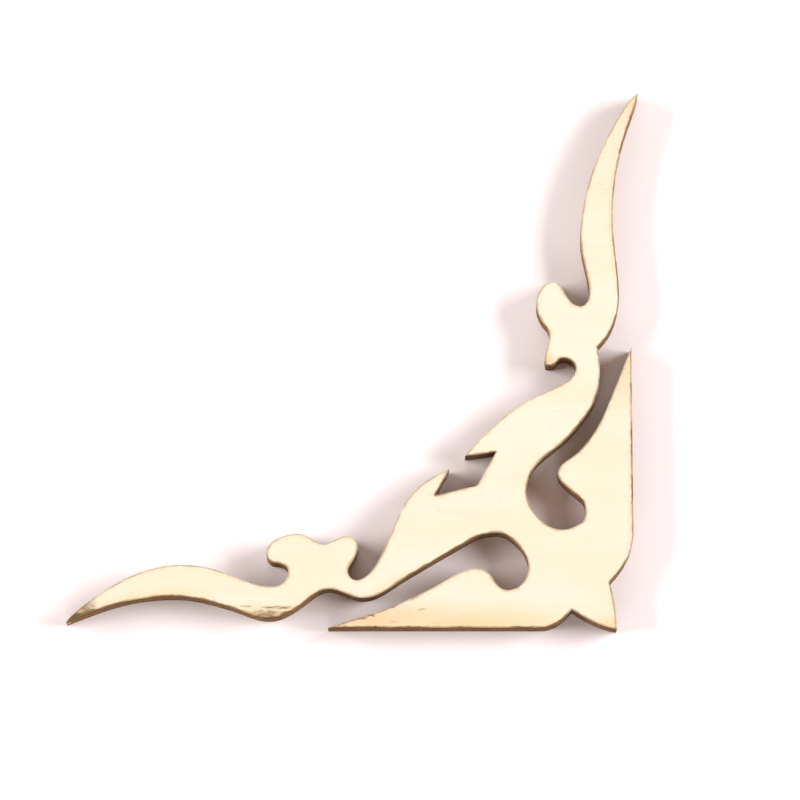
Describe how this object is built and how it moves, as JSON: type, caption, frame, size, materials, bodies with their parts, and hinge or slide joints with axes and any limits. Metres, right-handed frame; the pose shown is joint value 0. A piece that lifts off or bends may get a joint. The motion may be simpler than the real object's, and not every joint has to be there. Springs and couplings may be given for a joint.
{
  "type": "wooden corner embellishment",
  "caption": "Flat laser-cut plywood corner ornament with leafy scrolled arms and hooked slots, glued on to decorate the corner of a frame, box, door or panel.",
  "frame": {"origin": "middle of the bounding box in plan, on the plane of the back face that the ornament lies on", "axes": "+Z out of the back face towards the shown face, -X along the left arm, +Y along the upper arm; the straight outer edges face -Y and +X"},
  "size_m": [0.0688, 0.0668, 0.0023],
  "materials": {
    "plywood": "bare pale plywood, matt, with dark brown laser-burnt edges"
  },
  "bodies": {
    "root": {"corner_ornament": "plywood"}
  },
  "joints": []
}
